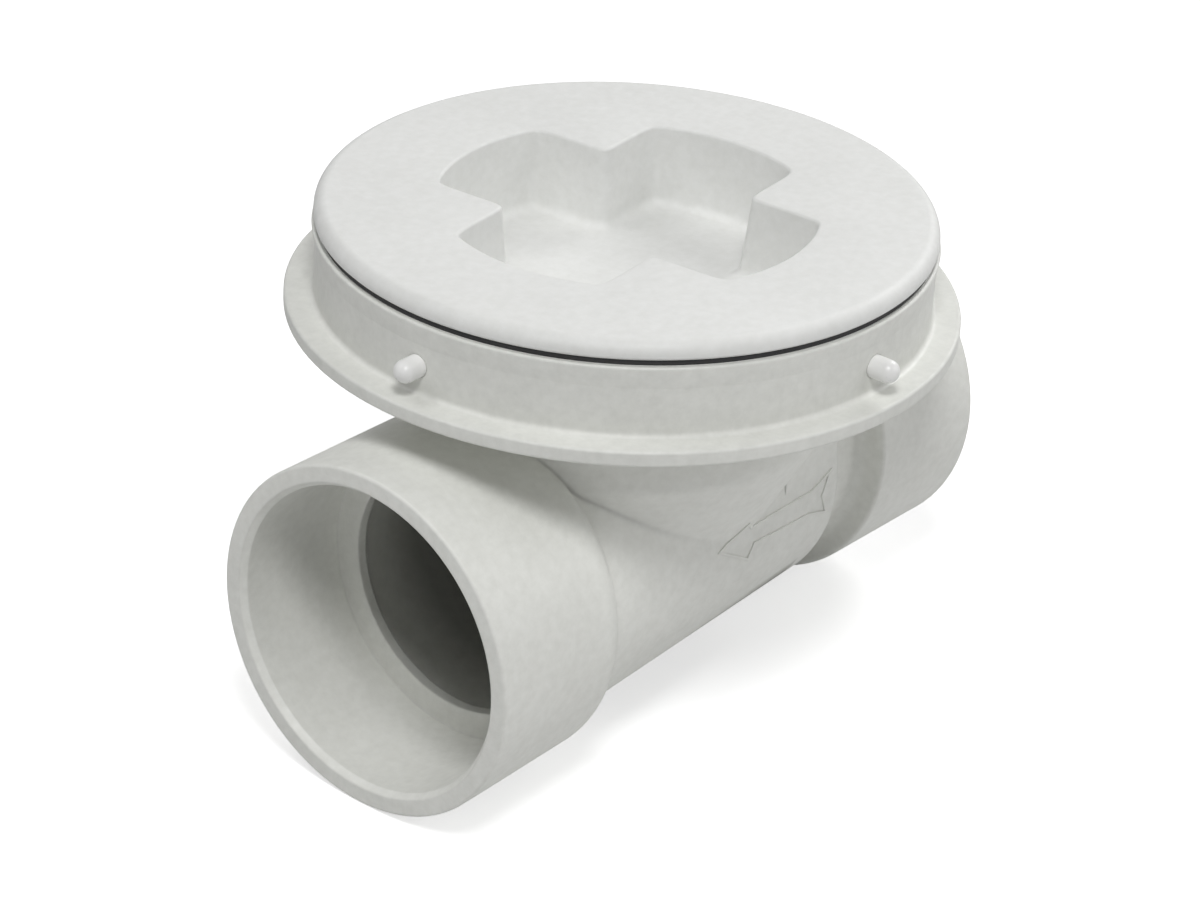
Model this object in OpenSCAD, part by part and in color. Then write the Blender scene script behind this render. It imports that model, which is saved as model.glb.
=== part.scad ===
// Backwater valve for a 3 inch plastic drain: a moulded body with two pipe sockets,
// a round access neck with a screw cover, and a hinged flap that closes against backflow.
// Millimetres. The origin is the centre of the outlet's pipe stop, +X runs upstream
// to the inlet and +Z is up.

/* [Pipe sockets] */
// Outside diameter of the drain pipe that is cemented into each hub
pipe_d = 88.9; // [86:0.1:92]
// Radial room for cement between a pipe and its socket
socket_fit = 0.1; // [0.05:0.05:0.4]
// Depth of each socket, from its mouth to its pipe stop
socket_depth = 38.1; // [34:0.1:40]
// Wall of the hubs at their mouths
hub_wall = 6.45; // [5.5:0.05:8]
// Draft of the hubs, on radius, from the mouth to the shoulder
hub_draft = 0.6; // [0.2:0.1:1.2]
// Rounding of the mouths' outer edge
mouth_round = 0.8; // [0.4:0.1:1.5]
// Width of the bevel inside each mouth, on radius
lead_in = 1.4; // [0.5:0.1:2.5]
// Length of the bevel inside each mouth
lead_in_length = 2; // [1:0.1:4]
// Diameter of the waterway past the pipe stops
waterway_d = 73; // [68:0.5:76]

/* [Body] */
// Distance from the bulkhead that carries the flap to the inlet's pipe stop
inlet_run = 30.2; // [28:0.1:40]
// How much higher the inlet runs than the outlet
inlet_rise = 8.3; // [4:0.1:10]
// General wall of the moulding
wall = 4.6; // [3.8:0.1:5.4]
// Length of the outlet hub, from its mouth to the end of its shoulder
outlet_hub_length = 52; // [50:0.5:58]
// Rounding of the outlet hub's shoulder
outlet_shoulder_round = 8; // [4:0.1:9]
// Length of the inlet hub, from its mouth to its shoulder
inlet_hub_length = 43.5; // [41:0.5:46]
// Rounding of the inlet hub's shoulder
inlet_shoulder_round = 1.2; // [0.5:0.1:3]
// Fillet between the inlet's neck and its hub
inlet_neck_fillet = 3.5; // [1:0.1:5]
// Wall of the narrow neck between the flap chamber and the inlet hub
inlet_neck_wall = 5.5; // [4.5:0.1:7]
// Thickness of the outlet's pipe stop
stop_thickness = 3.3; // [3:0.1:5]
// How much wider the trough is inside than the waterway, on radius, at the outlet's pipe stop
trough_room = 4.7; // [3:0.1:5.5]
// Room round the flap's seat inside the trough, on radius
seat_room = 1.9; // [1.5:0.1:3]
// Length of the upright housing round the seat plate, up to the bulkhead
housing_run = 18; // [14:0.5:22]
// How much narrower that housing is than the trough, on each side
housing_setback = 0.8; // [0.6:0.1:2]
// Thickness of the bulkhead
bulkhead_thickness = 6; // [5.5:0.1:8]
// Thickness of the deck that closes the neck above the inlet
deck_thickness = 6; // [5.6:0.1:8]

/* [Access neck] */
// Distance from the axis of the access neck to the bulkhead
access_run = 38; // [36:0.1:39]
// Height of the flange's top face above the top of the seat plate
neck_height = 8.55; // [8:0.05:14]
// Thickness of the flange
flange_thickness = 4.4; // [3:0.1:6]
// Width of the flange outside the collar
flange_width = 8.2; // [6:0.1:14]
// Inner radius of the collar's threaded wall
thread_r = 80.5; // [79:0.1:83]
// Wall of the collar
collar_wall = 5.6; // [5:0.1:7]
// Height of the collar above the flange
collar_height = 20.7; // [19:0.1:26]
// Height of the ledge inside the collar above the flange's top face
ledge_height = 1.65; // [0.8:0.05:3]
// Radial room round the cover's recess in the access opening
opening_room = 0.9; // [0.5:0.1:3]
// Rounding of the collar's and the flange's edges
collar_edge = 0.7; // [0.3:0.1:1.2]
// Fillet at the foot of the collar
collar_fillet = 1.5; // [0.5:0.1:2.5]
// Height of the neck's straight part, above the funnel
neck_straight = 24; // [18:0.5:28]
// How far the funnel's throat lies inside the trough's side
throat_setback = 0.3; // [0.2:0.1:0.8]
// Rounding of the funnel's upper, outward bend
funnel_round = 8; // [7:0.5:12]
// Rounding of the funnel's lower, inward bend
funnel_fillet = 20; // [12:1:24]

/* [Riser pegs] */
// Diameter of the pegs that lock a riser on the collar
peg_d = 6.5; // [5:0.1:8]
// How far a peg stands out of the collar
peg_reach = 7.6; // [5:0.1:10]
// Depth to which a peg is set into the collar
peg_depth = 3.5; // [2.5:0.1:4.2]
// Height of the pegs above the flange's top face
peg_height = 8; // [5:0.1:12]
// Radial room for cement round a peg
peg_fit = 0.05; // [0.02:0.01:0.15]

/* [Cover] */
// How far the cover stands out past the collar
cover_overhang = 0.9; // [0:0.1:3]
// Thickness of the cover's plate
cover_thickness = 5; // [5:0.1:7]
// Rounding of the cover's upper edge
cover_round = 4.4; // [2:0.1:4.4]
// Rounding of the cover's lower edge
cover_lower_round = 0.4; // [0.1:0.1:0.6]
// Radial room for the thread between the skirt and the collar
thread_room = 2; // [1.2:0.1:2.5]
// Wall of the cover's skirt
skirt_wall = 5; // [4:0.1:6]
// Room between the foot of the skirt and the ledge in the collar
skirt_room = 0.8; // [0.4:0.1:2]
// How far the cross recess is turned from the run
recess_turn = 5; // [0:1:20]
// Width of each arm of the cross recess at the top
recess_width = 48; // [40:0.5:52]
// Radius of the arms' round ends at the top
recess_r = 53; // [48:0.5:55]
// Depth of the recess
recess_depth = 24; // [20:0.5:25]
// Draft of the recess's walls
recess_draft = 4; // [2:0.5:5]
// Wall round the recess, under the cover
recess_wall = 3.5; // [3:0.1:5]
// Thickness of the ribs under the cover
rib_thickness = 3; // [2:0.1:4]
// Depth of the ribs under the cover
rib_depth = 12; // [6:0.5:14]

/* [Cover seal] */
// Thickness of the seal between the collar and the cover
seal_thickness = 1.75; // [1.5:0.05:3]
// How far the seal lies back from the collar's outer face
seal_setback = 0.6; // [0.4:0.1:2]
// Radial room between the seal and the skirt
seal_room = 0.5; // [0.3:0.1:1]

/* [Flap seat] */
// Lean of the flap's seat, so that the flap closes by its own weight
seat_lean = 6; // [4:0.5:7]
// Distance from the bulkhead to the middle of the seat
seat_reach = 11; // [10:0.1:12]
// Width of the seat round the waterway
seat_width = 4.5; // [4:0.1:5.5]
// How much narrower the seat plate's upper part is than the seat, on each side
plate_setback = 3; // [1:0.1:4]
// Height of the seat plate above the hinge pin, along the seat
plate_top = 4.5; // [3.5:0.1:5.5]
// Rounding of the seat plate's upper corners
plate_round = 8; // [4:0.5:12]
// Thickness of the gasket behind the seat plate
gasket_thickness = 2; // [1.5:0.1:2.5]
// Diameter of the screws that hold the seat plate
plate_screw_d = 5; // [4:0.1:5.5]
// Room round those screws, on radius
plate_screw_fit = 0.1; // [0.05:0.05:0.3]
// Depth of those screws in the bulkhead
plate_screw_bite = 4.5; // [3.5:0.1:5]
// Distance of those screws from the seat plate's side edges
plate_screw_side = 8; // [7:0.1:8.5]
// Distance of those screws from the seat plate's top edge
plate_screw_drop = 9; // [8:0.1:10]

/* [Flap] */
// Room between the flap's full reach and the outlet's pipe stop
flap_room = 0.6; // [0.4:0.1:2]
// How far the flap's edge lies inside the seat's edge
flap_setback = 0.5; // [0.2:0.1:1.5]
// Thickness of the flap's disc
flap_thickness = 6; // [5:0.1:6.5]
// Width of the flap's stiffening rim
flap_rim_width = 4; // [3:0.1:6]
// How far the rim and ribs stand out of the disc
flap_rim_height = 2; // [1:0.1:2.5]
// Room between the flap's edge and its knuckle
flap_gap = 1; // [0.5:0.1:1.5]
// Thickness of the rubber facing
facing_thickness = 3; // [2:0.1:3.5]
// Room round the retainer plate in the waterway, on radius
retainer_room = 3.5; // [2.5:0.1:6]
// Thickness of the retainer plate
retainer_thickness = 2.5; // [1.5:0.1:3]
// Radius of the circle of retainer screws
retainer_pitch_r = 22; // [18:0.5:25]
// Diameter of the retainer screws
retainer_screw_d = 4; // [3:0.1:5]
// Number of retainer screws
retainer_screws_n = 4; // [3:1:6]
// Room round the retainer screws, on radius
retainer_screw_fit = 0.1; // [0.05:0.05:0.3]

/* [Hinge] */
// Distance of the hinge pin from the seat's face
hinge_offset = 7; // [6.8:0.1:7.4]
// Diameter of the hinge pin
pin_d = 5; // [4:0.1:6]
// Running room round the hinge pin, on radius
pin_fit = 0.05; // [0.02:0.01:0.1]
// Radius of the hinge's knuckle and lugs
knuckle_r = 6; // [5.5:0.1:6.3]
// Width of the flap's knuckle
knuckle_width = 27; // [22:0.5:32]
// Room between the knuckle and each lug
knuckle_room = 1; // [0.5:0.1:1.5]
// Width of each hinge lug
lug_width = 6.5; // [5:0.1:8]
// Thickness of the clips on the hinge pin
clip_thickness = 1.2; // [0.8:0.1:2]
// Outer radius of the clips
clip_r = 4.6; // [4:0.1:5.5]
// Width of the opening in each clip
clip_opening = 2.8; // [2:0.1:3.4]
// Length of the hinge pin past its clips
pin_end = 2; // [1:0.1:4]
// Depth of the clips' grooves in the hinge pin
groove_depth = 0.5; // [0.3:0.1:0.8]
// Room round a clip in its groove
clip_fit = 0.05; // [0.02:0.01:0.1]

/* [Hidden] */
$fn = 96;
arc_steps = 8;
through = 1;
throat_overlap = 0.2;

pvc_white = "whitesmoke";
pvc_peg = "white";
rubber_black = "#222222";
steel = "silver";

// Radius and height of screw heads and height of nuts, in screw diameters
head_r_share = 0.9;
head_share = 0.6;
nut_share = 0.8;
// Rounding of the edges of seals and thin plates, in thicknesses
edge_share = 0.3;

// Sockets and hubs
socket_r = pipe_d / 2 + socket_fit;
hub_r = socket_r + hub_wall;
waterway_r = waterway_d / 2;
inlet_neck_r = waterway_r + inlet_neck_wall;

// Seat, flap and hinge heights follow the waterway
seat_r = waterway_r + seat_width;
flap_r = seat_r - flap_setback;
hinge_height = flap_r + flap_gap + knuckle_r;
plate_height = hinge_height + plate_top;
plate_half_width = seat_r - plate_setback;
plate_screw_y = plate_half_width - plate_screw_side;
plate_screw_z = plate_height - plate_screw_drop;
retainer_r = waterway_r - retainer_room;
flap_back = facing_thickness + flap_thickness;
flap_reach = norm([hinge_height + flap_r, flap_back + flap_rim_height - hinge_offset]);

// The flap swings up inside the chamber, so its reach gives the places along the run
hinge_x = stop_thickness + flap_room + flap_reach;
seat_x = hinge_x + hinge_offset * cos(seat_lean) - hinge_height * sin(seat_lean);
bulkhead_x = seat_x + seat_reach;
access_x = bulkhead_x - access_run;
laying_length = bulkhead_x + inlet_run;
inlet_mouth_x = laying_length + socket_depth;

// The trough runs from the outlet's pipe stop up to the inlet's axis at the bulkhead
trough_r_outlet = waterway_r + trough_room + wall;
trough_r_inlet = seat_r + seat_room + wall;
trough_lean = atan2(inlet_rise, bulkhead_x);
trough_length = norm([bulkhead_x, inlet_rise]);
chamber_end_x = bulkhead_x + bulkhead_thickness;
access_share = access_x / bulkhead_x;
throat_r = trough_r_outlet + (trough_r_inlet - trough_r_outlet) * access_share - throat_setback;
throat_foot_z = inlet_rise * access_share;
housing_half_width = trough_r_inlet - housing_setback;

// Neck, collar and cover share the access axis
flange_z = inlet_rise + plate_height + neck_height;
opening_r = recess_r + recess_wall + opening_room;
neck_r = opening_r + wall;
neck_top_z = flange_z - flange_thickness;
collar_r = thread_r + collar_wall;
collar_top_z = flange_z + collar_height;
ledge_z = flange_z + ledge_height;
flange_r = collar_r + flange_width;
peg_r = peg_d / 2;
skirt_r = thread_r - thread_room;
skirt_foot_z = ledge_z + skirt_room;
cover_r = collar_r + cover_overhang;
cover_under_z = collar_top_z + seal_thickness;
cover_top_z = cover_under_z + cover_thickness;
recess_floor_z = cover_top_z - recess_depth;
recess_taper = recess_depth * tan(recess_draft);
recess_foot_z = recess_floor_z - recess_wall;

// The funnel's slope, from the vertical, lets both of its bends fit below the neck's straight part
funnel_run = neck_r - throat_r;
funnel_height = neck_top_z - neck_straight - throat_foot_z;
funnel_bends = funnel_fillet + funnel_round;
funnel_angle = 2 * atan(funnel_run
    / (funnel_height + sqrt(funnel_height ^ 2 + funnel_run * (funnel_run - 2 * funnel_bends))));
throat_z = throat_foot_z + funnel_fillet * tan(funnel_angle / 2);

// Seat plate, screws and hinge
plate_back_x = bulkhead_x - gasket_thickness;
plate_screw_r = plate_screw_d / 2;
plate_screw_head_r = plate_screw_d * head_r_share;
plate_screw_head = plate_screw_d * head_share;
retainer_screw_r = retainer_screw_d / 2;
retainer_head_r = retainer_screw_d * head_r_share;
retainer_head = retainer_screw_d * head_share;
nut_r = retainer_screw_d;
nut_height = retainer_screw_d * nut_share;
pin_r = pin_d / 2;
lug_inner_y = knuckle_width / 2 + knuckle_room;
lug_outer_y = lug_inner_y + lug_width;
clip_y = lug_outer_y + clip_fit;
pin_half = clip_y + clip_thickness + clip_fit + pin_end;
screw_wall_x = seat_x + plate_screw_z * tan(seat_lean);
screw_tip_x = bulkhead_x + plate_screw_bite;

// A unit vector along v
function unit(v) = v / norm(v);

// Points of the arc of radius r that rounds the corner b between a and c
function corner_arc(a, b, c, r) =
    let (u = unit(a - b), w = unit(c - b), half = acos(u * w) / 2,
         middle = b + unit(u + w) * r / sin(half),
         from = b + u * r / tan(half), to = b + w * r / tan(half),
         start = atan2(from.y - middle.y, from.x - middle.x),
         turn = atan2(to.y - middle.y, to.x - middle.x) - start,
         sweep = turn > 180 ? turn - 360 : turn < -180 ? turn + 360 : turn)
    [for (i = [0:arc_steps])
        let (angle = start + sweep * i / arc_steps)
        middle + r * [cos(angle), sin(angle)]];

// A closed outline whose corners [x, y, r] are rounded by their own r
function rounded(corners) =
    let (n = len(corners), p = [for (c = corners) [c.x, c.y]])
    [for (i = [0:n - 1])
        each corners[i].z > 0
            ? corner_arc(p[(i + n - 1) % n], p[i], p[(i + 1) % n], corners[i].z)
            : [p[i]]];

// A solid turned about the X axis from an outline [distance along X, radius]
module turned_on_x(outline) {
    rotate([0, 90, 0])
        rotate_extrude()
            polygon([for (p = outline) [p.y, p.x]]);
}

// A solid turned about the access axis from an outline [radius, height]
module turned_on_access(outline) {
    translate([access_x, 0, 0])
        rotate_extrude()
            polygon(outline);
}

module bore_on_x(x, length, r) {
    translate([x, 0, 0])
        rotate([0, 90, 0])
            cylinder(h = length, r = r);
}

module at_inlet() {
    translate([0, 0, inlet_rise])
        children();
}

// The leaning frame of the seat: its face is x = 0, the flap lies on its -X side
module at_seat() {
    translate([seat_x, 0, inlet_rise])
        rotate([0, seat_lean, 0])
            children();
}

module at_hinge() {
    at_seat()
        translate([-hinge_offset, 0, hinge_height])
            rotate([-90, 0, 0])
                children();
}

module across_hinge(width, r) {
    at_hinge()
        cylinder(h = width, r = r, center = true);
}

// The neck, the funnel below it and its throat; inset gives the hollow inside
module funnel(inset, top_z) {
    foot_z = throat_foot_z - throat_overlap;
    slope = tan(funnel_angle);
    shift = inset / cos(funnel_angle);
    narrow = throat_r - inset;
    broad = neck_r - inset;
    low_z = throat_z + (narrow - throat_r + shift) / slope;
    high_z = throat_z + (broad - throat_r + shift) / slope;
    turned_on_access(rounded([
        [0, foot_z, 0],
        [narrow, foot_z, 0],
        [narrow, low_z, funnel_fillet + inset],
        [broad, high_z, funnel_round - inset],
        [broad, top_z, 0],
        [0, top_z, 0]]));
}

// The round trough under the funnel, leaning up to the inlet; inset gives its hollow
module trough(inset, past_end) {
    growth = (trough_r_inlet - trough_r_outlet) / trough_length;
    length = trough_length + past_end;
    rotate([0, 90 - trough_lean, 0])
        cylinder(h = length, r1 = trough_r_outlet - inset, r2 = trough_r_outlet - inset + growth * length);
}

// The upright housing round the seat plate, from the inlet's axis up; inset gives its hollow
module seat_housing(inset, top_z) {
    half = housing_half_width - inset;
    from_x = bulkhead_x - housing_run + inset;
    translate([from_x, -half, inlet_rise])
        cube([chamber_end_x - from_x, 2 * half, top_z - inlet_rise]);
}

module outlet_hub() {
    shoulder_x = outlet_hub_length - socket_depth;
    turned_on_x(rounded([
        [-socket_depth, 0, 0],
        [-socket_depth, hub_r, mouth_round],
        [shoulder_x, hub_r - hub_draft, outlet_shoulder_round],
        [shoulder_x, 0, 0]]));
}

module inlet_hub() {
    shoulder_x = inlet_mouth_x - inlet_hub_length;
    at_inlet()
        turned_on_x(rounded([
            [bulkhead_x, 0, 0],
            [bulkhead_x, inlet_neck_r, 0],
            [shoulder_x, inlet_neck_r, inlet_neck_fillet],
            [shoulder_x, hub_r - hub_draft, inlet_shoulder_round],
            [inlet_mouth_x, hub_r, mouth_round],
            [inlet_mouth_x, 0, 0]]));
}

module socket(mouth_x, way) {
    from_x = min(mouth_x, mouth_x + way * socket_depth);
    bore_on_x(from_x, socket_depth, socket_r);
    turned_on_x([
        [mouth_x - way * through, 0],
        [mouth_x - way * through, socket_r + lead_in * (1 + through / lead_in_length)],
        [mouth_x + way * lead_in_length, socket_r],
        [mouth_x + way * lead_in_length, 0]]);
}

// Whatever lies upstream of x and below top_z
module upstream_block(x, top_z) {
    reach = flange_r + neck_top_z;
    translate([x, -reach, -reach])
        cube([reach, 2 * reach, reach + top_z]);
}

module valve_body() {
    color(pvc_white)
        difference() {
            union() {
                outlet_hub();
                inlet_hub();
                difference() {
                    union() {
                        funnel(0, neck_top_z);
                        trough(0, 2 * bulkhead_thickness);
                        seat_housing(0, neck_top_z);
                    }
                    upstream_block(chamber_end_x, neck_top_z - deck_thickness);
                }
            }
            socket(-socket_depth, 1);
            at_inlet()
                socket(inlet_mouth_x, -1);
            bore_on_x(-through, stop_thickness + 2 * through, waterway_r);
            at_inlet()
                bore_on_x(bulkhead_x - through, laying_length - bulkhead_x + 2 * through, waterway_r);
            difference() {
                union() {
                    funnel(wall, neck_top_z + through);
                    trough(wall, bulkhead_thickness);
                    seat_housing(wall, neck_top_z + through);
                }
                upstream_block(bulkhead_x, flange_z);
                bore_on_x(-socket_depth, socket_depth + stop_thickness, hub_r);
            }
            plate_screw_places()
                bore_on_x(access_x, screw_tip_x - access_x, plate_screw_r + plate_screw_fit);
        }
}

module access_collar() {
    color(pvc_white)
        difference() {
            turned_on_access(rounded([
                [opening_r, neck_top_z, 0],
                [flange_r, neck_top_z, collar_edge],
                [flange_r, flange_z, collar_edge],
                [collar_r, flange_z, collar_fillet],
                [collar_r, collar_top_z, collar_edge],
                [thread_r, collar_top_z, collar_edge],
                [thread_r, ledge_z, 0],
                [opening_r, ledge_z, 0]]));
            for (turn = [0:90:270])
                peg_place(turn)
                    cylinder(h = peg_depth + peg_reach, r = peg_r + peg_fit);
        }
}

// The seat of a peg in the collar, with Z pointing out of the collar
module peg_place(turn) {
    translate([access_x, 0, flange_z + peg_height])
        rotate([0, 0, turn])
            translate([collar_r - peg_depth, 0, 0])
                rotate([0, 90, 0])
                    children();
}

module riser_peg(turn) {
    straight = peg_depth + peg_reach - peg_r;
    color(pvc_peg)
        peg_place(turn) {
            union() {
                cylinder(h = straight, r = peg_r);
                translate([0, 0, straight])
                    sphere(r = peg_r);
            }
        }
}

// One arm of the cross, right across the cover, narrowing downwards by taper on each side
module recess_arm(length, top_width, from_z, to_z, taper) {
    half = top_width / 2;
    rotate([90, 0, 90])
        linear_extrude(height = length, center = true)
            polygon([
                [taper - half, from_z],
                [half - taper, from_z],
                [half, to_z],
                [-half, to_z]]);
}

module recess_void() {
    top_z = cover_top_z + through;
    grow = through * tan(recess_draft);
    top_width = recess_width + 2 * grow;
    intersection() {
        translate([0, 0, recess_floor_z])
            cylinder(h = recess_depth + through, r1 = recess_r - recess_taper, r2 = recess_r + grow);
        for (turn = [0, 90])
            rotate([0, 0, turn])
                recess_arm(3 * recess_r, top_width, recess_floor_z, top_z, recess_taper + grow);
    }
}

module recess_shell() {
    height = cover_under_z - recess_foot_z + through;
    width = recess_width + 2 * recess_wall;
    translate([0, 0, recess_foot_z])
        intersection() {
            cylinder(h = height, r = recess_r + recess_wall);
            for (turn = [0, 90])
                rotate([0, 0, turn])
                    translate([-1.5 * recess_r, -width / 2, 0])
                        cube([3 * recess_r, width, height]);
        }
}

module cover_ribs() {
    ring_r = skirt_r - skirt_wall / 2;
    for (turn = [0:45:315])
        rotate([0, 0, turn])
            translate([recess_width / 2, -rib_thickness / 2, cover_under_z - rib_depth])
                cube([ring_r - recess_width / 2, rib_thickness, rib_depth + through]);
}

module access_cover() {
    skirt_height = cover_under_z - skirt_foot_z;
    color(pvc_white)
        translate([access_x, 0, 0])
            rotate([0, 0, recess_turn])
                difference() {
                    union() {
                        rotate_extrude()
                            polygon(rounded([
                                [0, cover_under_z, 0],
                                [cover_r, cover_under_z, cover_lower_round],
                                [cover_r, cover_top_z, cover_round],
                                [0, cover_top_z, 0]]));
                        difference() {
                            translate([0, 0, skirt_foot_z])
                                cylinder(h = skirt_height + through, r = skirt_r);
                            translate([0, 0, skirt_foot_z - through])
                                cylinder(h = skirt_height + through, r = skirt_r - skirt_wall);
                        }
                        recess_shell();
                        cover_ribs();
                    }
                    recess_void();
                }
}

module cover_seal() {
    edge = seal_thickness * edge_share;
    color(rubber_black)
        turned_on_access(rounded([
            [skirt_r + seal_room, collar_top_z, 0],
            [collar_r - seal_setback, collar_top_z, edge],
            [collar_r - seal_setback, cover_under_z, edge],
            [skirt_r + seal_room, cover_under_z, 0]]));
}

// The outline that the seat plate and its gasket share, upright, from x to x + thickness
module plate_outline(x, thickness) {
    corner = plate_half_width - plate_round;
    at_inlet() {
        bore_on_x(x, thickness, seat_r);
        translate([x, -plate_half_width, 0])
            cube([thickness, 2 * plate_half_width, plate_height - plate_round]);
        translate([x, -corner, 0])
            cube([thickness, 2 * corner, plate_height]);
        for (y = [-corner, corner])
            translate([0, y, plate_height - plate_round])
                bore_on_x(x, thickness, plate_round);
    }
}

module plate_screw_places() {
    for (y = [-plate_screw_y, plate_screw_y])
        translate([0, y, inlet_rise + plate_screw_z])
            children();
}

module hinge_lugs() {
    root = seat_reach / 4;
    for (side = [-1, 1])
        translate([0, side * (lug_inner_y + lug_width / 2), 0]) {
            across_hinge(lug_width, knuckle_r);
            at_seat()
                translate([-hinge_offset, -lug_width / 2, hinge_height - knuckle_r])
                    cube([hinge_offset + root, lug_width, 2 * knuckle_r]);
        }
}

module seat_plate() {
    depth = 2 * seat_reach;
    reach = 2 * plate_height;
    color(pvc_white)
        difference() {
            union() {
                difference() {
                    plate_outline(plate_back_x - depth, depth);
                    at_seat()
                        translate([-2 * depth, -reach, -reach])
                            cube([2 * depth, 2 * reach, 2 * reach]);
                }
                intersection() {
                    hinge_lugs();
                    translate([plate_back_x - reach, -reach, -reach])
                        cube([reach, 2 * reach, 2 * reach]);
                }
            }
            at_inlet()
                bore_on_x(0, bulkhead_x, waterway_r);
            across_hinge(3 * lug_outer_y, pin_r + pin_fit);
            plate_screw_places() {
                bore_on_x(0, bulkhead_x, plate_screw_r + plate_screw_fit);
                bore_on_x(0, screw_wall_x, plate_screw_head_r + 2 * plate_screw_fit);
            }
        }
}

module seat_gasket() {
    color(rubber_black)
        difference() {
            plate_outline(plate_back_x, gasket_thickness);
            at_inlet()
                bore_on_x(0, 2 * bulkhead_x, waterway_r);
            plate_screw_places()
                bore_on_x(0, 2 * bulkhead_x, plate_screw_r + plate_screw_fit);
        }
}

module seat_plate_screws() {
    shank = screw_tip_x - screw_wall_x;
    color(steel)
        plate_screw_places() {
            union() {
                bore_on_x(screw_wall_x - plate_screw_head, plate_screw_head, plate_screw_head_r);
                bore_on_x(screw_wall_x - through, shank + through, plate_screw_r);
            }
        }
}

module hinge_pin() {
    color(steel)
        at_hinge()
            difference() {
                cylinder(h = 2 * pin_half, r = pin_r, center = true);
                for (side = [-1, 1])
                    translate([0, 0, side * (clip_y + clip_thickness / 2)])
                        difference() {
                            cylinder(h = clip_thickness + 2 * clip_fit, r = 2 * pin_r, center = true);
                            cylinder(h = 2 * clip_thickness, r = pin_r - groove_depth, center = true);
                        }
            }
}

// An open ring that snaps into the pin's groove
module pin_clip(side) {
    hole_r = pin_r - groove_depth + clip_fit;
    color(steel)
        at_hinge()
            translate([0, 0, side * (clip_y + clip_thickness / 2)])
                difference() {
                    cylinder(h = clip_thickness, r = clip_r, center = true);
                    cylinder(h = 2 * clip_thickness, r = hole_r, center = true);
                    translate([0, -clip_opening / 2, -clip_thickness])
                        cube([2 * clip_r, clip_opening, 2 * clip_thickness]);
                }
}

module retainer_places() {
    for (i = [0:retainer_screws_n - 1])
        at_seat()
            rotate([360 * (i + 0.5) / retainer_screws_n, 0, 0])
                translate([0, 0, retainer_pitch_r])
                    children();
}

module flap() {
    tongue = hinge_height - flap_r / 2;
    rib_y = knuckle_width / 4;
    rim_x = -flap_back - flap_rim_height;
    rib_half = flap_r - 2 * flap_rim_width;
    color(pvc_white)
        difference() {
            union() {
                at_seat() {
                    difference() {
                        bore_on_x(rim_x, flap_rim_height + flap_thickness, flap_r);
                        bore_on_x(rim_x - through, flap_rim_height + through, flap_r - flap_rim_width);
                    }
                    for (side = [-1, 1])
                        translate([rim_x, side * rib_y - flap_rim_width / 2, -rib_half])
                            cube([flap_rim_height + through, flap_rim_width, 2 * rib_half]);
                    translate([-flap_back, -knuckle_width / 2, hinge_height - tongue])
                        cube([flap_thickness, knuckle_width, tongue]);
                }
                across_hinge(knuckle_width, knuckle_r);
            }
            across_hinge(2 * knuckle_width, pin_r + pin_fit);
            retainer_places()
                bore_on_x(-2 * flap_back, 4 * flap_back, retainer_screw_r + retainer_screw_fit);
        }
}

module flap_facing() {
    edge = facing_thickness * edge_share;
    color(rubber_black)
        difference() {
            at_seat()
                turned_on_x(rounded([
                    [-facing_thickness, 0, 0],
                    [-facing_thickness, flap_r, 0],
                    [0, flap_r, edge],
                    [0, 0, 0]]));
            retainer_places()
                bore_on_x(-2 * flap_back, 4 * flap_back, retainer_screw_r + retainer_screw_fit);
        }
}

module facing_retainer() {
    edge = retainer_thickness * edge_share;
    color(steel)
        difference() {
            at_seat()
                turned_on_x(rounded([
                    [0, 0, 0],
                    [0, retainer_r, 0],
                    [retainer_thickness, retainer_r, edge],
                    [retainer_thickness, 0, 0]]));
            retainer_places()
                bore_on_x(-2 * flap_back, 4 * flap_back, retainer_screw_r + retainer_screw_fit);
        }
}

module retainer_screws() {
    tip = flap_back + nut_height;
    color(steel)
        retainer_places() {
            union() {
                bore_on_x(retainer_thickness, retainer_head, retainer_head_r);
                bore_on_x(-tip, tip + retainer_thickness + retainer_head / 2, retainer_screw_r);
            }
        }
}

module retainer_nuts() {
    color(steel)
        retainer_places()
            difference() {
                translate([-flap_back - nut_height, 0, 0])
                    rotate([0, 90, 0])
                        cylinder(h = nut_height, r = nut_r, $fn = 6);
                bore_on_x(-2 * flap_back, 2 * flap_back, retainer_screw_r + retainer_screw_fit);
            }
}

valve_body();
access_collar();
riser_peg(0);  // riser_peg_inlet
riser_peg(90);  // riser_peg_left
riser_peg(180);  // riser_peg_outlet
riser_peg(270);  // riser_peg_right
access_cover();
cover_seal();
seat_plate();
seat_gasket();
seat_plate_screws();
hinge_pin();
pin_clip(-1);  // pin_clip_right
pin_clip(1);  // pin_clip_left
flap();
flap_facing();
facing_retainer();
retainer_screws();
retainer_nuts();
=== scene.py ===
# %% [markdown]
# A backwater valve in white plastic
#
# The valve lets drain water run out to the sewer and shuts when it tries to come back.
# This lesson dresses the finished solids: it sets up the camera and the light, gives each
# piece its finish, and remakes the pieces whose look depends on soft edges and threads.
# The solids are the fixed frame. Everything is in metres and stays where the solids are.

# %% Load the solids
import math

import bmesh
import bpy
from mathutils import Matrix, Vector


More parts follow.
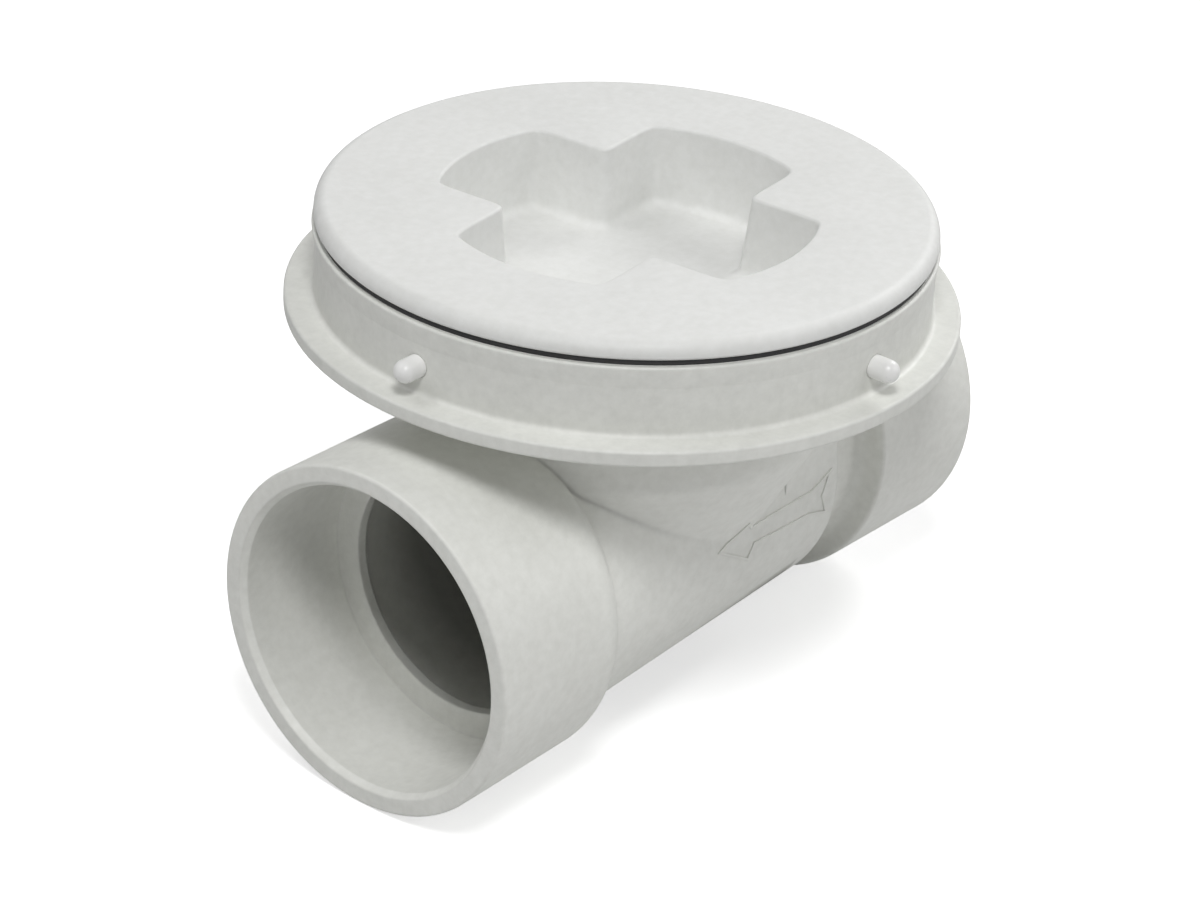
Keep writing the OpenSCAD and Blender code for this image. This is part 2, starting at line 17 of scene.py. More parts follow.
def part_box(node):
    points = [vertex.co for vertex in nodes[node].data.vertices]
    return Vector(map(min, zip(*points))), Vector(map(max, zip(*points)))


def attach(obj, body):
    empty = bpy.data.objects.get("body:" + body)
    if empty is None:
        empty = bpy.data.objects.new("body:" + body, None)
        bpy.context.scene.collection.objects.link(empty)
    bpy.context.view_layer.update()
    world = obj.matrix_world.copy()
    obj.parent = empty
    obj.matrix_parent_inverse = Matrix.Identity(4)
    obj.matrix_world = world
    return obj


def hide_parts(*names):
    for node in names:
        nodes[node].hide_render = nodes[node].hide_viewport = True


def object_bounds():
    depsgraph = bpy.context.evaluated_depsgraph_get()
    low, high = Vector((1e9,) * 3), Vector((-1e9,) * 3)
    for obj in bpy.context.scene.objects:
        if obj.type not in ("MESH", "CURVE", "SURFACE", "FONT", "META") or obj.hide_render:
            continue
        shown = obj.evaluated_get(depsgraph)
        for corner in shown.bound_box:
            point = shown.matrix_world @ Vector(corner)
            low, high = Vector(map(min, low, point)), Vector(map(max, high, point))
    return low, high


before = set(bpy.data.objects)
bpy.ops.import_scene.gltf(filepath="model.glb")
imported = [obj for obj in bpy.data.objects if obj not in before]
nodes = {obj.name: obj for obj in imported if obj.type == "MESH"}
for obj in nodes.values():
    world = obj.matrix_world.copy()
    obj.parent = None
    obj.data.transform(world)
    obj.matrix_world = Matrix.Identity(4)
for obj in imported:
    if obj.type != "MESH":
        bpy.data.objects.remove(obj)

solid_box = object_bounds()
print("solids:", len(nodes), "nodes, box in mm:", [[round(1000 * c, 1) for c in p] for p in solid_box])

# %% [markdown]
# Sizes to hang things on
#
# The access neck, its cover and the seal are round and share one upright axis. Their sizes
# could be typed again, but it is quicker and safer to read them from the solids, because a
# piece that is made for the cover then fits the cover.

# %% Read the main sizes
MM = 0.001
cover_low, cover_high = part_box("access_cover")
collar_low, collar_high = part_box("access_collar")
cover_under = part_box("cover_seal")[1].z
body_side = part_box("valve_body")[0].y
access_x = (cover_low.x + cover_high.x) / 2
cover_r = (cover_high.y - cover_low.y) / 2
cover_top = cover_high.z
print("access axis x, cover radius, cover top:", [round(v, 5) for v in (access_x, cover_r, cover_top)])

# %% [markdown]
# The camera
#
# The photograph looks down on the outlet from a little above, with a long lens: the far hub
# is hardly smaller than the near one. A camera can be placed by eye, but the place, the turn
# and the lens below were found by laying the outlines of the cover, the flange and the hubs
# over the picture, so that a render can be compared with it point by point.

# %% Place the camera
sensor_width_mm = 36
lens_mm = 117.3
camera_place = (-0.7059, -0.6016, 0.54785)
camera_azimuth = -51.875
camera_elevation = 28.405
camera_roll = 3.185


def aim(azimuth, elevation, roll):
    a, e, r = (math.radians(v) for v in (azimuth, elevation, roll))
    back = Vector((math.sin(a) * math.cos(e), -math.cos(a) * math.cos(e), math.sin(e)))
    right = Vector((math.cos(a), math.sin(a), 0))
    up = back.cross(right)
    turned_right = math.cos(r) * right + math.sin(r) * up
    turned_up = math.cos(r) * up - math.sin(r) * right
    return Matrix((turned_right, turned_up, back)).transposed()


lens = bpy.data.cameras.new("photo_camera")
lens.sensor_width = sensor_width_mm
lens.lens = lens_mm
camera = bpy.data.objects.new("photo_camera", lens)
camera_turn = aim(camera_azimuth, camera_elevation, camera_roll).to_4x4()
camera.matrix_world = Matrix.Translation(camera_place) @ camera_turn
bpy.context.scene.collection.objects.link(camera)
bpy.context.scene.camera = camera
print("camera at", [round(c, 4) for c in camera.location], "lens", lens.lens)

# %% [markdown]
# The floor
#
# The part stands on white paper. A white floor can be had with more light, but that would bleach
# the white part as well. So the floor is a pale matt plane, and for the camera alone it also
# glows a little, and more far away, where the lamps don't reach. It comes out white where
# nothing shades it and still keeps the soft shadow under the part.

# %% Write the first tools
def deselect():
    if bpy.context.object and bpy.context.object.mode != "OBJECT":
        bpy.ops.object.mode_set(mode="OBJECT")
    bpy.ops.object.select_all(action="DESELECT")


def work_out(tree, operation, first, second):
    node = tree.nodes.new("ShaderNodeMath")
    node.operation = operation
    tree.links.new(first, node.inputs[0])
    tree.links.new(second, node.inputs[1])
    return node.outputs[0]


def remap(tree, value, start, end, low=0.0, high=1.0):
    node = tree.nodes.new("ShaderNodeMapRange")
    node.inputs["From Min"].default_value = start
    node.inputs["From Max"].default_value = end
    node.inputs["To Min"].default_value = low
    node.inputs["To Max"].default_value = high
    tree.links.new(value, node.inputs["Value"])
    return node.outputs["Result"]


print("first tools ready")

# %% Lay the floor
floor_size = 8
floor_gap = 0.2 * MM
deselect()
bpy.ops.mesh.primitive_plane_add(size=floor_size, location=(access_x, 0, solid_box[0].z - floor_gap))
floor = bpy.context.object
floor.name = "floor"
print("floor at z", round(floor.location.z, 4))

# %% Whiten the floor
paper_grey = (0.80, 0.80, 0.80, 1)
glow_start = 0.3
glow_end = 1.6
glow_near = 0.60
glow_far = 1.0
paper = bpy.data.materials.new("pale_paper")
paper.use_nodes = True
net = paper.node_tree
net.nodes.clear()
out = net.nodes.new("ShaderNodeOutputMaterial")
matt = net.nodes.new("ShaderNodeBsdfDiffuse")
matt.inputs["Color"].default_value = paper_grey
glow = net.nodes.new("ShaderNodeEmission")
rays = net.nodes.new("ShaderNodeLightPath")
both = net.nodes.new("ShaderNodeAddShader")
spot = net.nodes.new("ShaderNodeTexCoord")
distance = net.nodes.new("ShaderNodeVectorMath")
distance.operation = "LENGTH"
net.links.new(spot.outputs["Object"], distance.inputs[0])
rise = remap(net, distance.outputs["Value"], glow_start, glow_end, glow_near, glow_far)
level = work_out(net, "MULTIPLY", rays.outputs["Is Camera Ray"], rise)
net.links.new(level, glow.inputs["Strength"])
net.links.new(matt.outputs[0], both.inputs[0])
net.links.new(glow.outputs[0], both.inputs[1])
net.links.new(both.outputs[0], out.inputs["Surface"])
floor.data.materials.append(paper)
print("floor glows for the camera from", glow_near, "to", glow_far)

# %% [markdown]
# The light
#
# The part was shot with one broad lamp above the camera, which lights the cover and the lower
# half of the near socket and leaves the inside dark. Three weaker lamps, behind the part and
# on both sides, keep the shaded sides from going black. Round area lamps are chosen
# over spot lamps because their shadows have soft edges. The world is white for the camera and
# in reflections, and gives the part itself only a little light.

# %% Light the part
lamp_distance = 1.5
lamp_target = Vector((access_x, 0, 30 * MM))


def lamp(name, azimuth, elevation, size, power):
    light = bpy.data.lights.new(name, "AREA")
    light.shape = "DISK"
    light.size = size
    light.energy = power
    holder = bpy.data.objects.new(name, light)
    a, e = math.radians(azimuth), math.radians(elevation)
    way = Vector((math.cos(a) * math.cos(e), math.sin(a) * math.cos(e), math.sin(e)))
    holder.location = lamp_target + lamp_distance * way
    holder.rotation_euler = way.to_track_quat("Z", "Y").to_euler()
    bpy.context.scene.collection.objects.link(holder)
    return holder


lamps = [
    lamp("lamp_key", azimuth=-140, elevation=55, size=0.4, power=10.4),
    lamp("lamp_back", azimuth=0, elevation=35, size=0.6, power=6.9),
    lamp("lamp_right", azimuth=-60, elevation=28, size=0.6, power=3.3),
    lamp("lamp_left", azimuth=130, elevation=55, size=0.6, power=3.9),
]
bpy.context.scene.view_settings.view_transform = "Standard"
print("lamps:", [(holder.name, round(holder.data.energy, 2)) for holder in lamps])

# %% Whiten the background
pure_white = (1, 1, 1, 1)
ambient_level = 0.12
backdrop_level = 1.0
sky = bpy.data.worlds.new("studio")
bpy.context.scene.world = sky
sky.use_nodes = True
net = sky.node_tree
net.nodes.clear()
out = net.nodes.new("ShaderNodeOutputWorld")
ambient = net.nodes.new("ShaderNodeBackground")
ambient.inputs["Color"].default_value = pure_white
ambient.inputs["Strength"].default_value = ambient_level
backdrop = net.nodes.new("ShaderNodeBackground")
backdrop.inputs["Color"].default_value = pure_white
backdrop.inputs["Strength"].default_value = backdrop_level
rays = net.nodes.new("ShaderNodeLightPath")
seen = work_out(net, "MAXIMUM", rays.outputs["Is Camera Ray"], rays.outputs["Is Glossy Ray"])
seen = work_out(net, "MAXIMUM", seen, rays.outputs["Is Transmission Ray"])
pick = net.nodes.new("ShaderNodeMixShader")
net.links.new(seen, pick.inputs[0])
net.links.new(ambient.outputs[0], pick.inputs[1])
net.links.new(backdrop.outputs[0], pick.inputs[2])
net.links.new(pick.outputs[0], out.inputs["Surface"])
print("background", backdrop_level, "and light from it", ambient_level)

# %% [markdown]
# Tools for a finish
#
# Every finish here is a base shader with some of its values led by noise. Pictures of plastic
# could be wrapped round the pieces instead, but noise needs no seams. It is read in object
# coordinates, so the pattern stays on the piece whichever way it is turned.

# %% Write the noise tools
def start_material(name):
    material = bpy.data.materials.new(name)
    material.use_nodes = True
    tree = material.node_tree
    shader = tree.nodes["Principled BSDF"]
    place = tree.nodes.new("ShaderNodeTexCoord")
    return material, tree, shader, place.outputs["Object"]


def noise(tree, place, scale, detail, roughness, stretch=None):
    if stretch:
        mapping = tree.nodes.new("ShaderNodeMapping")
        mapping.inputs["Scale"].default_value = stretch
        tree.links.new(place, mapping.inputs["Vector"])
        place = mapping.outputs["Vector"]
    texture = tree.nodes.new("ShaderNodeTexNoise")
    texture.inputs["Scale"].default_value = scale
    texture.inputs["Detail"].default_value = detail
    texture.inputs["Roughness"].default_value = roughness
    tree.links.new(place, texture.inputs["Vector"])
    return texture.outputs["Fac"]


def ramp(tree, value, low, high, first, last):
    node = tree.nodes.new("ShaderNodeValToRGB")
    node.color_ramp.elements[0].position = low
    node.color_ramp.elements[1].position = high
    node.color_ramp.elements[0].color = (*first, 1)
    node.color_ramp.elements[1].color = (*last, 1)
    tree.links.new(value, node.inputs["Fac"])
    return node.outputs["Color"]


print("noise tools ready")

# %% Write the gloss and bump tools
noise_low = 0.3
noise_high = 0.7


def vary_gloss(tree, shader, value, gloss, dull):
    spread = remap(tree, value, noise_low, noise_high, gloss, dull)
    tree.links.new(spread, shader.inputs["Roughness"])


def bumps(tree, shader, heights, normal=None):
    for value, depth in heights:
        bump = tree.nodes.new("ShaderNodeBump")
        bump.inputs["Strength"].default_value = 1.0
        bump.inputs["Distance"].default_value = depth
        tree.links.new(value, bump.inputs["Height"])
        if normal:
            tree.links.new(normal, bump.inputs["Normal"])
        normal = bump.outputs["Normal"]
    tree.links.new(normal, shader.inputs["Normal"])


print("gloss and bump tools ready, noise runs from", noise_low, "to", noise_high)

# %% [markdown]
# Painted shade in the chamber
#
# Past the outlet's pipe stop the photograph shows the chamber lying in deep shade, much darker
# than the lamps here make it, and darker the deeper it goes. So that shade is painted on. A
# separate grey piece would need a seam there, so the body's own plastic turns greyer by its place:
# past the stop, near the pipe's axis and before the inlet. Each limit is a number from 0 to 1, and
# their product is the share of painted shade.

# %% Paint shade into the chamber
fade = 0.5 * MM
chamber_r = 43.6 * MM
stop_face = 3.3 * MM
chamber_fade = 25 * MM
chamber_end = 104 * MM
# painted shade: the deep chamber's colour is multiplied by this grey
painted_shade_grey = (0.42, 0.42, 0.41, 1)
across_pipe = (0, 1, 1)


def overlap(tree, limits):
    share = limits[0]
    for limit in limits[1:]:
        share = work_out(tree, "MULTIPLY", share, limit)
    return share


# paints the chamber's shade: grey past the stop, inside the pipe and before the inlet
def paint_chamber_shade(tree, place, tint):
    split = tree.nodes.new("ShaderNodeSeparateXYZ")
    tree.links.new(place, split.inputs["Vector"])
    along = split.outputs["X"]
    flat = tree.nodes.new("ShaderNodeVectorMath")
    flat.operation = "MULTIPLY"
    flat.inputs[1].default_value = across_pipe
    tree.links.new(place, flat.inputs[0])
    reach = tree.nodes.new("ShaderNodeVectorMath")
    reach.operation = "LENGTH"
    tree.links.new(flat.outputs["Vector"], reach.inputs[0])
    near_axis = remap(tree, reach.outputs["Value"], chamber_r + fade, chamber_r - fade)
    past_stop = remap(tree, along, stop_face, stop_face + chamber_fade)
    before_end = remap(tree, along, chamber_end + fade, chamber_end - fade)
    mix = tree.nodes.new("ShaderNodeMix")
    mix.data_type = "RGBA"
    mix.blend_type = "MULTIPLY"
    tree.links.new(overlap(tree, [past_stop, near_axis, before_end]), mix.inputs["Factor"])
    tree.links.new(tint, mix.inputs["A"])
    mix.inputs["B"].default_value = painted_shade_grey
    return mix.outputs["Result"]


print("chamber greyed from x", stop_face, "to", chamber_end, "inside radius", chamber_r)

# %% [markdown]
# Soft corners
#
# A moulding has no sharp corners. They could be bevelled in the mesh, but the solids stay as
# they are, so the Bevel node rounds them for the light alone: a little on the hubs and the
# flange, and more on the bowl between them, where the mould's forms run together.

# %% Soften the bowl
bowl_top = 63.5 * MM
bowl_start = 6 * MM
bowl_end = 83 * MM
bowl_edge = 4 * MM
crisp_edge = 1 * MM


def softer_bowl(tree, place):
    split = tree.nodes.new("ShaderNodeSeparateXYZ")
    tree.links.new(place, split.inputs["Vector"])
    along = split.outputs["X"]
    below_flange = remap(tree, split.outputs["Z"], bowl_top + fade, bowl_top - fade)
    past_outlet = remap(tree, along, bowl_start - fade, bowl_start + fade)
    before_inlet = remap(tree, along, bowl_end + fade, bowl_end - fade)
    share = overlap(tree, [below_flange, past_outlet, before_inlet])
    return remap(tree, share, 0, 1, crisp_edge, bowl_edge)


print("corner radius", crisp_edge, "and on the bowl", bowl_edge)

# %% [markdown]
# White moulded plastic
#
# Rigid PVC for drains is white with a trace of grey and yellow. A close look shows a faint
# mottle where the melt flowed, broad clouds and small flecks together, a fine orange-peel skin
# from the mould, and duller and glossier patches from handling. One plain white would look
# like a drawing. So one network makes all of them, and each piece gets it with its own tints,
# gloss and skin: the cover is more matt, and the pegs are cut from smooth rod.

# %% Mix the plastics
cloud_scale = 28
fleck_scale = 340
fleck_share = 0.6
mottle_low = 0.36
mottle_high = 0.64
handling_scale = 75
wave_scale = 60
wave_depth = 0.05 * MM
corner_samples = 6


def moulded_plastic(name, tints, sheen, peel_scale, peel_depth, soft_edge=None):
    light_tint, dark_tint = tints
    gloss, dull = sheen
    material, tree, shader, place = start_material(name)
    mottle = tree.nodes.new("ShaderNodeMix")
    mottle.inputs["Factor"].default_value = fleck_share
    tree.links.new(noise(tree, place, cloud_scale, detail=4, roughness=0.6), mottle.inputs["A"])
    tree.links.new(noise(tree, place, fleck_scale, detail=3, roughness=0.6), mottle.inputs["B"])
    tint = ramp(tree, mottle.outputs["Result"], mottle_low, mottle_high, dark_tint, light_tint)
    # the body's plastic alone gets the painted shade in the deep chamber
    if not soft_edge:
        tint = paint_chamber_shade(tree, place, tint)
    tree.links.new(tint, shader.inputs["Base Color"])
    handling = noise(tree, place, handling_scale, detail=5, roughness=0.65)
    vary_gloss(tree, shader, handling, gloss, dull)
    corners = tree.nodes.new("ShaderNodeBevel")
    corners.samples = corner_samples
    if soft_edge:
        corners.inputs["Radius"].default_value = soft_edge
    else:
        tree.links.new(softer_bowl(tree, place), corners.inputs["Radius"])
    peel = noise(tree, place, peel_scale, detail=2, roughness=0.5)
    waves = noise(tree, place, wave_scale, detail=2, roughness=0.4)
    bumps(tree, shader, [(waves, wave_depth), (peel, peel_depth)], corners.outputs["Normal"])
    return material


body_tints = ((0.85, 0.856, 0.818), (0.775, 0.78, 0.74))
cover_tints = ((0.815, 0.82, 0.805), (0.76, 0.765, 0.745))
collar_tints = ((0.785, 0.791, 0.755), (0.71, 0.716, 0.68))
peg_tints = ((0.87, 0.87, 0.86), (0.85, 0.85, 0.835))
body_skin = {"sheen": (0.40, 0.52), "peel_scale": 1400, "peel_depth": 0.012 * MM}
cover_skin = {"sheen": (0.50, 0.62), "peel_scale": 2200, "peel_depth": 0.02 * MM}
peg_skin = {"sheen": (0.24, 0.34), "peel_scale": 900, "peel_depth": 0.004 * MM}
body_plastic = moulded_plastic("white_pvc", body_tints, **body_skin)
collar_plastic = moulded_plastic("white_pvc_collar", collar_tints, **body_skin, soft_edge=crisp_edge)
raised_plastic = moulded_plastic("white_pvc_raised", body_tints, **body_skin, soft_edge=0.3 * MM)
cover_plastic = moulded_plastic("white_pvc_matt", cover_tints, **cover_skin, soft_edge=0.5 * MM)
peg_plastic = moulded_plastic("white_pvc_rod", peg_tints, **peg_skin, soft_edge=0.5 * MM)
plastics = (body_plastic, collar_plastic, raised_plastic, cover_plastic, peg_plastic)
print("plastics:", [material.name for material in plastics])

# %% [markdown]
# Rubber and stainless steel
#
# The seals are black rubber: dark, matt, with a fine grain. The pin, the clips, the plate on
# the flap and the screws are stainless steel, because they live in drain water. Rolled steel
# has a grain. The shader's anisotropy could show it too, but noise stretched along one
# direction, in the gloss and in the bumps, also shows the single scratches.

# %% Mix the rubber and the steel
def rubber(name):
    material, tree, shader, place = start_material(name)
    bloom = noise(tree, place, scale=120, detail=4, roughness=0.6)
    tint = ramp(tree, bloom, 0.35, 0.7, (0.018, 0.018, 0.019), (0.04, 0.04, 0.041))
    tree.links.new(tint, shader.inputs["Base Color"])
    vary_gloss(tree, shader, bloom, gloss=0.66, dull=0.82)
    grain = noise(tree, place, scale=2500, detail=2, roughness=0.6)
    grain_depth = 0.02 * MM
    bumps(tree, shader, [(grain, grain_depth)])
    return material


def rolled_steel(name, stretch):
    material, tree, shader, place = start_material(name)
    shader.inputs["Metallic"].default_value = 1.0
    grain = noise(tree, place, scale=300, detail=3, roughness=0.6, stretch=stretch)
    stain = noise(tree, place, scale=90, detail=4, roughness=0.55)
    tint = ramp(tree, stain, 0.3, 0.7, (0.55, 0.55, 0.53), (0.68, 0.68, 0.665))
    tree.links.new(tint, shader.inputs["Base Color"])
    vary_gloss(tree, shader, grain, gloss=0.24, dull=0.40)
    scratch_depth = 0.006 * MM
    bumps(tree, shader, [(grain, scratch_depth)])
    return material


black_rubber = rubber("black_rubber")
plate_steel = rolled_steel("rolled_stainless", (6, 1, 12))
pin_steel = rolled_steel("drawn_stainless", (12, 1, 12))
print("rubber and steel:", black_rubber.name, plate_steel.name, pin_steel.name)

# %% [markdown]
# Finishes on the solids
#
# Most solids already have the right shape, so they only need their finish, and remaking them
# would gain nothing. A solid brings one plain material with it, which is taken out of its
# slots and replaced.

# %% Finish the solids
def finish_with(node, material):
    mesh = nodes[node].data
    mesh.materials.clear()
    mesh.materials.append(material)


finishes = {
    body_plastic: ["valve_body", "seat_plate", "flap"],
    collar_plastic: ["access_collar"],
    peg_plastic: ["riser_peg_outlet", "riser_peg_right", "riser_peg_inlet", "riser_peg_left"],
    black_rubber: ["cover_seal", "seat_gasket", "flap_facing"],
    plate_steel: ["facing_retainer", "pin_clip_right", "pin_clip_left"],
    pin_steel: ["hinge_pin"],
}
for material, names in finishes.items():
    for node in names:
        finish_with(node, material)
print("finished", sum(len(names) for names in finishes.values()), "solids")

# %% [markdown]
# Rings that make a moulding
#
# The cover, the collar's rim, the screws and the nuts are all round, or nearly so. They could be
# spun from a profile, but a spin can't make the cover's cross. So a piece is made like a thrown
# pot: one circle is extruded again and again, and each new ring is given its radius at every
# angle and its height. The ends are closed with a face, or joined to each other for a ring
# with a hole.

# %% Write the ring tools
start_r = 50 * MM


def smooth_below(degrees):
    bpy.ops.object.shade_smooth_by_angle(angle=math.radians(degrees))


def ring_moulding(name, count, rings, joined=False):
    deselect()
    bpy.ops.mesh.primitive_circle_add(vertices=count, radius=start_r)
    piece = bpy.context.object
    piece.name = piece.data.name = name
    bpy.ops.object.mode_set(mode="EDIT")
    bpy.ops.mesh.select_mode(type="VERT")
    bpy.ops.mesh.select_all(action="SELECT")
    for step, (radius_at, height) in enumerate(rings):
        if step:
            bpy.ops.mesh.extrude_region()
        ring = bmesh.from_edit_mesh(piece.data)
        for corner in ring.verts:
            if corner.select:
                angle = math.atan2(corner.co.y, corner.co.x)
                r = radius_at(angle)
                corner.co = (r * math.cos(angle), r * math.sin(angle), height)
        bmesh.update_edit_mesh(piece.data)
    if not joined:
        bpy.ops.mesh.edge_face_add()
    bpy.ops.mesh.select_all(action="DESELECT")
    bpy.ops.mesh.select_non_manifold()
    if joined:
        bpy.ops.mesh.bridge_edge_loops()
    else:
        bpy.ops.mesh.edge_face_add()
    bpy.ops.mesh.select_all(action="SELECT")
    bpy.ops.mesh.normals_make_consistent(inside=False)
    bpy.ops.object.mode_set(mode="OBJECT")
    smooth_below(35)
    return piece


def circle(r):
    return lambda angle: r


def quarter(steps):
    return [math.pi / 2 * i / steps for i in range(steps + 1)]


def rounded_edge(outer_r, top, radius, steps):
    edge = []
    for a in quarter(steps):
        inset = radius * (1 - math.cos(a))
        drop = radius * (1 - math.sin(a))
        edge.append((circle(outer_r - inset), top - drop))
    return edge


print("ring tools ready")

# %% Write the placing tools
def settle(piece, place):
    piece.matrix_world = place
    deselect()
    piece.select_set(True)
    bpy.context.view_layer.objects.active = piece
    bpy.ops.object.transform_apply(location=True, rotation=True, scale=True)


def join_all(pieces):
    deselect()
    for piece in pieces:
        piece.select_set(True)
    bpy.context.view_layer.objects.active = pieces[0]
    bpy.ops.object.join()
    return pieces[0]


def set_out(pattern, places):
    copies = []
    for place in places:
        copy = pattern.copy()
        copy.data = pattern.data.copy()
        bpy.context.scene.collection.objects.link(copy)
        settle(copy, place)
        copies.append(copy)
    bpy.data.objects.remove(pattern)
    return join_all(copies)


def dress(piece, material, body, slot, *replaced):
    piece.data.materials.clear()
    piece.data.materials.append(material)
    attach(piece, body)
    if replaced:
        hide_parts(*replaced)


print("placing tools ready")

# %% [markdown]
# The screw cover
#
# The cover is one thick moulding: a rounded edge, a flat top, a deep cross for the fitter's bar,
# and a threaded skirt below. The cross could be cut out with a boolean, but its corners would
# stay sharp. Here it is a rule for the rings: the radius at each angle is a soft choice between
# the sides of the arms and their round ends, and the power of the choice sets how soft the
# corners are.

# %% Draw the cross
recess_turn = math.radians(5)
recess_half = 24 * MM
recess_r = 53 * MM
inner_corner = 20
outer_corner = 30
tiny = 1e-6


def cross(growth):
    def radius_at(angle):
        a = angle - recess_turn
        half = recess_half + growth
        reach = recess_r + growth
        across = (half / max(abs(math.sin(a)), tiny)) ** inner_corner
        along = (half / max(abs(math.cos(a)), tiny)) ** inner_corner
        side = (across + along) ** (1 / inner_corner)
        return (reach ** -outer_corner + side ** -outer_corner) ** (-1 / outer_corner)
    return radius_at


arm_end = cross(0)(recess_turn)
arm_crotch = cross(0)(recess_turn + math.pi / 4)
print("cross radius on an arm and between arms:", round(arm_end, 5), round(arm_crotch, 5))

# %% Turn the cover
recess_depth = 24 * MM
recess_draft = math.tan(math.radians(4))
recess_wall = 3.5 * MM
recess_lip = 0.9 * MM
floor_round = 3.2 * MM
cover_round = 3.6 * MM
cover_tuck = 0.6 * MM
skirt_r = 78.5 * MM
skirt_wall = 5 * MM
skirt_lift = 6.85 * MM
foot_round = 0.6 * MM
cover_points = 360
edge_steps = 10
lip_steps = 5
wall_steps = 6
floor_steps = 6

recess_floor = cover_top - recess_depth
shell_foot = cover_low.z
skirt_foot = collar_low.z + skirt_lift
skirt_inner = skirt_r - skirt_wall
edge_r = cover_r - cover_tuck
rings = [
    (cross(recess_wall - foot_round), shell_foot),
    (cross(recess_wall), shell_foot + foot_round),
    (cross(recess_wall), cover_under),
    (circle(skirt_inner), cover_under),
    (circle(skirt_inner), skirt_foot + foot_round),
    (circle(skirt_inner + foot_round), skirt_foot),
    (circle(skirt_r - foot_round), skirt_foot),
    (circle(skirt_r), skirt_foot + foot_round),
    (circle(skirt_r), cover_under),
    (circle(edge_r - foot_round), cover_under),
    (circle(edge_r), cover_under + foot_round),
]
rings += rounded_edge(edge_r, cover_top, cover_round, edge_steps)
for a in quarter(lip_steps):
    rings.append((cross(recess_lip * (1 - math.sin(a))), cover_top - recess_lip * (1 - math.cos(a))))
wall_run = recess_depth - recess_lip - floor_round
lean = wall_run * recess_draft
for step in range(1, wall_steps + 1):
    share = step / wall_steps
    rings.append((cross(-lean * share), cover_top - recess_lip - wall_run * share))
for a in quarter(floor_steps)[1:]:
    inwards = lean + floor_round * (1 - math.cos(a))
    rings.append((cross(-inwards), recess_floor + floor_round * (1 - math.sin(a))))
cover = ring_moulding("cover_moulding", cover_points, rings)
on_axis = Matrix.Translation((access_x, 0, 0))
settle(cover, on_axis)
print("cover:", len(rings), "rings,", len(cover.data.polygons), "faces")

# %% [markdown]
# Ribs under the cover
#
# Thin ribs join the cross's shell to the skirt, so that the cover doesn't dish when it is
# screwed down. Extruding them from the cover would upset its rings. So one rib is shaped from a
# bar for the ends of the arms and a longer one for the corners between them, and copies are
# set round the axis and joined to the cover.

# %% Set the ribs
rib_thickness = 3 * MM
rib_depth = 12 * MM
rib_edge = 0.4 * MM
rib_outer = skirt_r - skirt_wall / 2
rib_middle_z = cover_under - rib_depth / 2 + foot_round


def cover_rib(inner):
    deselect()
    bpy.ops.mesh.primitive_cube_add(size=1)
    rib = bpy.context.object
    bpy.ops.object.mode_set(mode="EDIT")
    bpy.ops.transform.resize(value=(rib_outer - inner, rib_thickness, rib_depth))
    bpy.ops.transform.translate(value=((rib_outer + inner) / 2, 0, rib_middle_z))
    bpy.ops.mesh.bevel(offset=rib_edge, segments=2, affect="EDGES")
    bpy.ops.object.mode_set(mode="OBJECT")
    return rib


def spokes(first):
    turns = [recess_turn + first + quarter_turn * math.pi / 2 for quarter_turn in range(4)]
    return [on_axis @ Matrix.Rotation(turn, 4, "Z") for turn in turns]


arm_start = recess_r + recess_wall / 2
corner_start = 1.5 * recess_half
arm_ribs = set_out(cover_rib(arm_start), spokes(0))
corner_ribs = set_out(cover_rib(corner_start), spokes(math.pi / 4))
join_all([cover, arm_ribs, corner_ribs])
dress(cover, cover_plastic, "cover", "pvc_cover", "access_cover")
print("cover with ribs:", len(cover.data.polygons), "faces")

# %% [markdown]
# The collar's rim
#
# The photograph shows a thin bright line under the dark seal. The collar's wall flares a little
# towards its top, past the cover's edge, and its rounded corner catches the light. A round bead
# would throw a shadow below it, so the flare is a thin tapered ring whose last section is
# bridged to its first. It sits a hair's breadth under the collar's own top face.

# %% Flare the collar's rim
collar_r = 86.1 * MM
rim_reach = 0.75 * MM
rim_round = 0.6 * MM
rim_taper = 7 * MM
rim_sunk = 0.1 * MM
rim_points = 240
rim_steps = 5
rim_top = collar_high.z - rim_sunk / 2
rim_foot = rim_top - rim_taper
rim_r = collar_r + rim_reach
rim_inner = collar_r - rim_round
rim_rings = [(circle(rim_inner), rim_foot), (circle(collar_r - rim_sunk), rim_foot)]
rim_rings += rounded_edge(rim_r, rim_top, rim_round, rim_steps)
rim_rings.append((circle(rim_inner), rim_top))
rim = ring_moulding("collar_rim", rim_points, rim_rings, joined=True)
settle(rim, on_axis)
dress(rim, collar_plastic, "housing", "pvc_white")
print("rim:", len(rim.data.polygons), "faces, radius", round(rim_r, 5), "top", round(rim_top, 5))

# %% [markdown]
# The screw thread
#
# A cover like this has a coarse thread, here two turns of 6 mm. A thread is one small
# section that climbs as it goes round. It could be extruded along a spiral curve, but the
# Screw modifier does the same in one step and keeps the section upright. The cover's ridge
# stands on the skirt and the collar's ridge stands in the gap between its turns.

# %% Wind the threads
pitch = 6 * MM
thread_turns = 2
thread_steps = 96
thread_root = 1.3 * MM
thread_crest = 0.55 * MM


